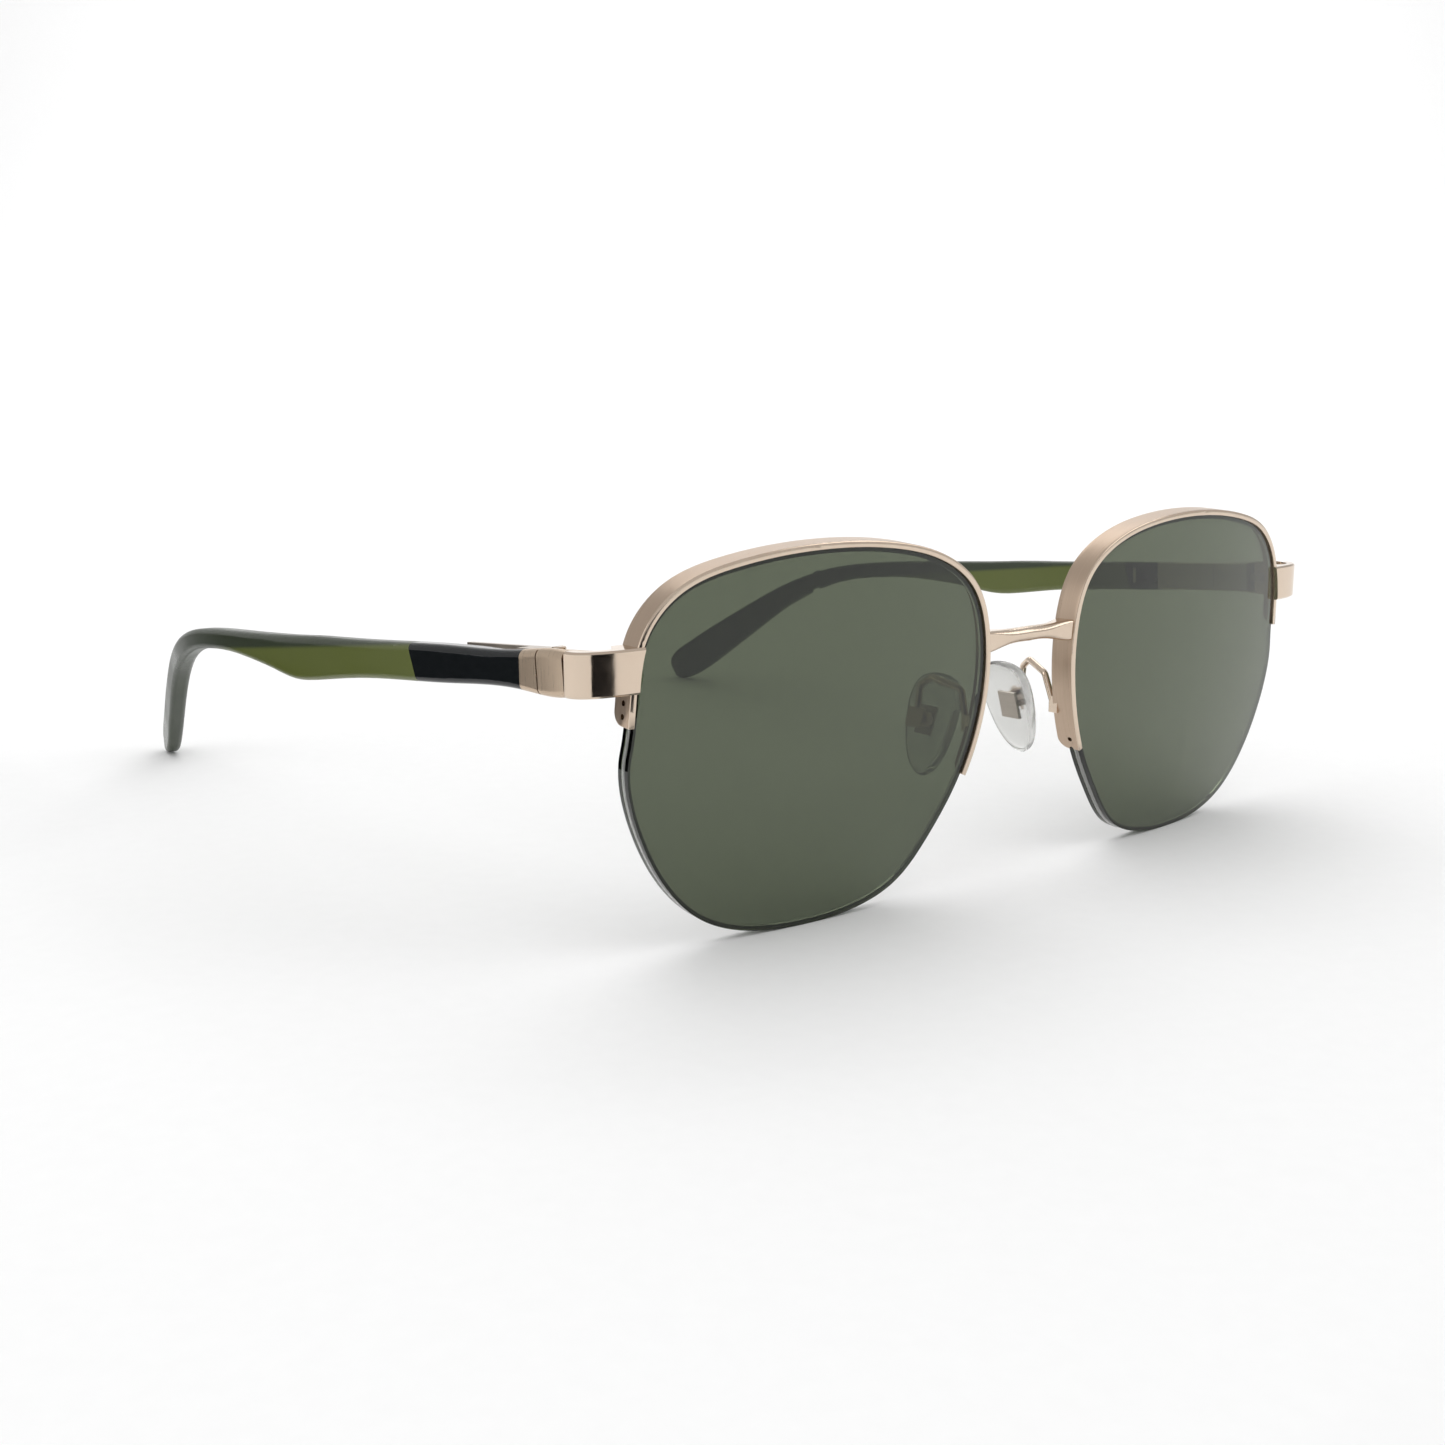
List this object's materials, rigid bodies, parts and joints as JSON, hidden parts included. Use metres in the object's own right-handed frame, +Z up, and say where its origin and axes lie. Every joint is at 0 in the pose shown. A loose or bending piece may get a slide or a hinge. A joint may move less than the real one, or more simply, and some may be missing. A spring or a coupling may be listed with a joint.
{
  "type": "sunglasses",
  "caption": "Half-rim metal sunglasses with soft hexagonal tinted lenses, translucent temples on spring hinges and rocking nose pads.",
  "frame": {"origin": "on the surface that the lenses and temple tips stand on, under the middle of the object's box", "axes": "+X to the wearer's left, +Y back along the temples, +Z up"},
  "size_m": [0.139, 0.1478, 0.0459],
  "materials": {
    "gold_metal": "champagne gold plating, brushed on the broad faces and polished on the edges",
    "polished_metal": "polished plating on screws and pad fittings",
    "hinge_metal": "satin",
    "spring_steel": "drawn wire",
    "lens_tint": "polished grey green tint",
    "line_clear": "clear nylon",
    "pad_clear": "clear silicone",
    "cover_black": "polished black",
    "sleeve_green": "translucent olive green, satin outside"
  },
  "bodies": {
    "front": {"bridge": "gold_metal", "left_lens": "lens_tint", "left_rim": "gold_metal", "left_lens_liner": "line_clear", "left_nylon_line": "line_clear", "left_end_piece": "gold_metal", "left_front_hinge": "gold_metal", "left_pad_arm": "gold_metal", "left_pad_box": "gold_metal", "left_pad_screw": "polished_metal", "right_lens": "lens_tint", "right_rim": "gold_metal", "right_lens_liner": "line_clear", "right_nylon_line": "line_clear", "right_end_piece": "gold_metal", "right_front_hinge": "gold_metal", "right_pad_arm": "gold_metal", "right_pad_box": "gold_metal", "right_pad_screw": "polished_metal"},
    "left_screw": {"left_hinge_screw": "polished_metal"},
    "left_tongue": {"left_hinge_tongue": "hinge_metal", "left_hinge_spring": "spring_steel", "left_spring_stop": "hinge_metal"},
    "left_temple": {"left_spring_housing": "hinge_metal", "left_temple_plate": "gold_metal", "left_temple_cover": "cover_black", "left_temple_core": "hinge_metal", "left_temple_sleeve": "sleeve_green"},
    "left_pad": {"left_pad_insert": "polished_metal", "left_nose_pad": "pad_clear"},
    "right_screw": {"right_hinge_screw": "polished_metal"},
    "right_tongue": {"right_hinge_tongue": "hinge_metal", "right_hinge_spring": "spring_steel", "right_spring_stop": "hinge_metal"},
    "right_temple": {"right_spring_housing": "hinge_metal", "right_temple_plate": "gold_metal", "right_temple_cover": "cover_black", "right_temple_core": "hinge_metal", "right_temple_sleeve": "sleeve_green"},
    "right_pad": {"right_pad_insert": "polished_metal", "right_nose_pad": "pad_clear"}
  },
  "joints": [
    {"name": "left_temple_flex", "type": "hinge", "parent": "front", "child": "left_screw", "pos_m": [0.0646, -0.06276, 0.0333], "axis": [0.0034, 0.0801, 0.9968], "range_deg": [-10, 0], "stiffness_Nm_per_rad": 0.3},
    {"name": "left_temple_fold", "type": "hinge", "parent": "left_screw", "child": "left_tongue", "pos_m": [0.0646, -0.06276, 0.0333], "axis": [0.0034, 0.0801, 0.9968], "range_deg": [0, 88]},
    {"name": "left_spring_travel", "type": "slide", "parent": "left_tongue", "child": "left_temple", "axis": [0.0417, 0.9959, -0.0802], "range_m": [0, 0.0005], "deforming": ["left_hinge_spring"]},
    {"name": "left_pad_rock", "type": "hinge", "parent": "front", "child": "left_pad", "pos_m": [0.01, -0.06296, 0.0209], "axis": [0, 1, 0], "range_deg": [-8, 8]},
    {"name": "right_temple_flex", "type": "hinge", "parent": "front", "child": "right_screw", "pos_m": [-0.0646, -0.06276, 0.0333], "axis": [0.0034, -0.0801, -0.9968], "range_deg": [-10, 0], "stiffness_Nm_per_rad": 0.3},
    {"name": "right_temple_fold", "type": "hinge", "parent": "right_screw", "child": "right_tongue", "pos_m": [-0.0646, -0.06276, 0.0333], "axis": [0.0034, -0.0801, -0.9968], "range_deg": [0, 79]},
    {"name": "right_spring_travel", "type": "slide", "parent": "right_tongue", "child": "right_temple", "axis": [-0.0417, 0.9959, -0.0802], "range_m": [0, 0.0005], "deforming": ["right_hinge_spring"]},
    {"name": "right_pad_rock", "type": "hinge", "parent": "front", "child": "right_pad", "pos_m": [-0.01, -0.06296, 0.0209], "axis": [0, -1, 0], "range_deg": [-8, 8]}
  ],
  "couplings": [
    {"joint": "left_spring_travel", "follows": "left_temple_flex", "m_per_rad": -0.0023},
    {"joint": "right_spring_travel", "follows": "right_temple_flex", "m_per_rad": -0.0023}
  ]
}
